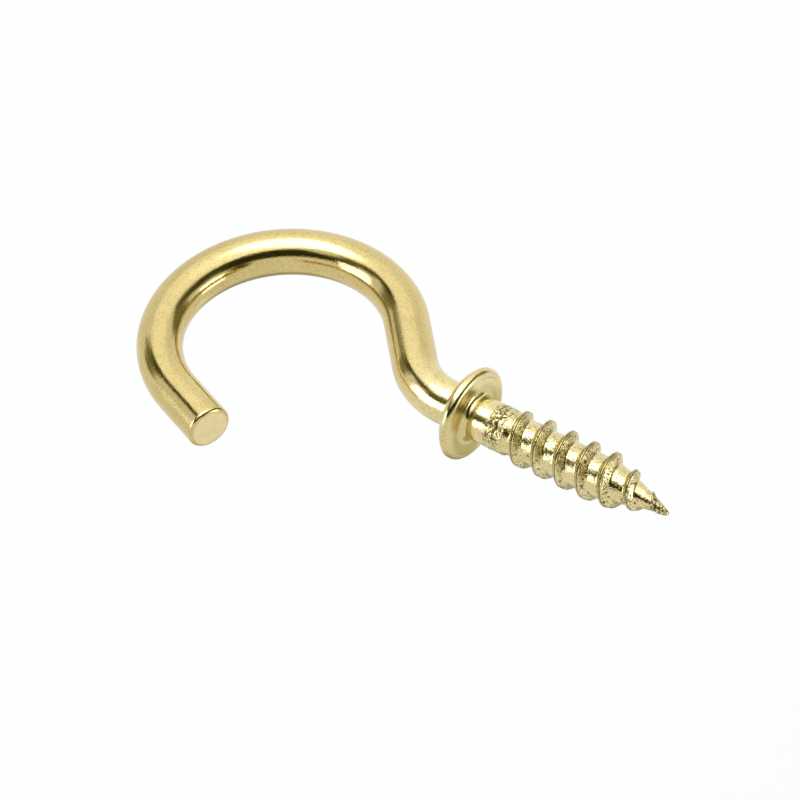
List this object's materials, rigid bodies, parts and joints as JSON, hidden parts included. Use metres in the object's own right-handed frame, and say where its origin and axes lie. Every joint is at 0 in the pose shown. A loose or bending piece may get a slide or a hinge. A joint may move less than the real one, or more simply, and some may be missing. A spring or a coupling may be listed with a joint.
{
  "type": "cup hook",
  "caption": "Shouldered cup hook: screw thread and round collar above, open round wire hook below, for hanging cups and mugs under a shelf.",
  "frame": {"origin": "centre of the collar's bearing face, on the screw's axis, where the hook seats against the shelf", "axes": "+Z along the screw to its point, so the hook hangs down -Z as it is used; the wire is bent in the XZ plane, with the neck leaning to -X and the mouth and cut end on +X; +Y completes the right-handed frame"},
  "size_m": [0.0197, 0.0064, 0.0388],
  "materials": {
    "brass_plate": "bright brass plating on steel wire, rough in the rolled thread"
  },
  "bodies": {
    "root": {"cup_hook": "brass_plate"}
  },
  "joints": []
}
